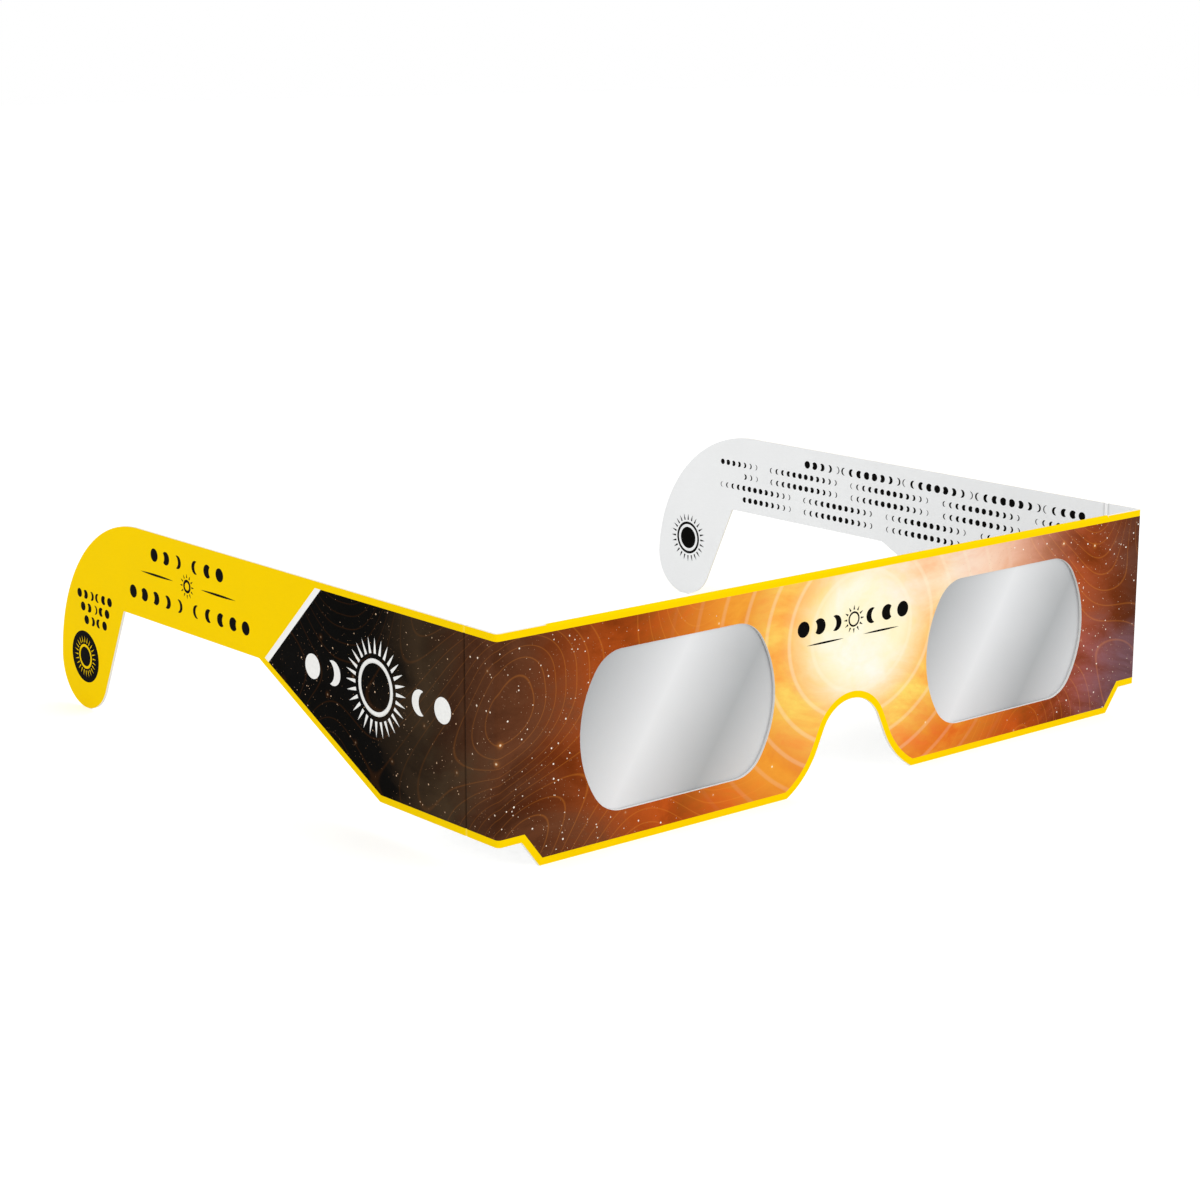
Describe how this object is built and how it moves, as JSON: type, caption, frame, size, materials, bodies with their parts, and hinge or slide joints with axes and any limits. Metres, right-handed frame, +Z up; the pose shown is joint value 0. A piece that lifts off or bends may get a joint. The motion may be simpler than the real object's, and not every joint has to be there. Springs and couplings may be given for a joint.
{
  "type": "eclipse glasses",
  "caption": "Folding paper glasses for looking at the sun: a creased card frame with a nose notch, filter film behind both windows, and hooked temples.",
  "frame": {"origin": "under the middle of the whole object, on the surface it stands on", "axes": "+Z up, the front faces -Y, +X to the wearer's left, the temples run back along +Y"},
  "size_m": [0.15, 0.1332, 0.0374],
  "materials": {
    "printed_card": "satin, printed board",
    "plain_card": "matt, unprinted board",
    "mirror_film": "bright, slightly rippled film",
    "black_film": "glossy film",
    "glue": "matt"
  },
  "bodies": {
    "front": {"front_panel": "printed_card", "back_panel": "plain_card", "top_fold": "printed_card", "glue_layer": "glue", "left_mirror_ply": "mirror_film", "right_mirror_ply": "mirror_film", "left_black_ply": "black_film", "right_black_ply": "black_film"},
    "left_corner": {"left_front_crease": "printed_card", "left_corner_strip": "printed_card"},
    "left_temple": {"left_temple_crease": "printed_card", "left_temple": "printed_card"},
    "right_corner": {"right_front_crease": "printed_card", "right_corner_strip": "printed_card"},
    "right_temple": {"right_temple_crease": "printed_card", "right_temple": "printed_card"}
  },
  "joints": [
    {"name": "left_front_fold", "type": "hinge", "parent": "front", "child": "left_corner", "pos_m": [0.07455, -0.06615, 0.0209], "axis": [0, 0, 1], "range_deg": [-90, 83]},
    {"name": "left_temple_fold", "type": "hinge", "parent": "left_corner", "child": "left_temple", "pos_m": [0.07455, -0.05875, 0.0209], "axis": [0, 0, 1], "range_deg": [-50, 7]},
    {"name": "right_front_fold", "type": "hinge", "parent": "front", "child": "right_corner", "pos_m": [-0.07455, -0.06615, 0.0209], "axis": [0, 0, -1], "range_deg": [-90, 77]},
    {"name": "right_temple_fold", "type": "hinge", "parent": "right_corner", "child": "right_temple", "pos_m": [-0.07455, -0.05875, 0.0209], "axis": [0, 0, -1], "range_deg": [-50, 13]}
  ]
}
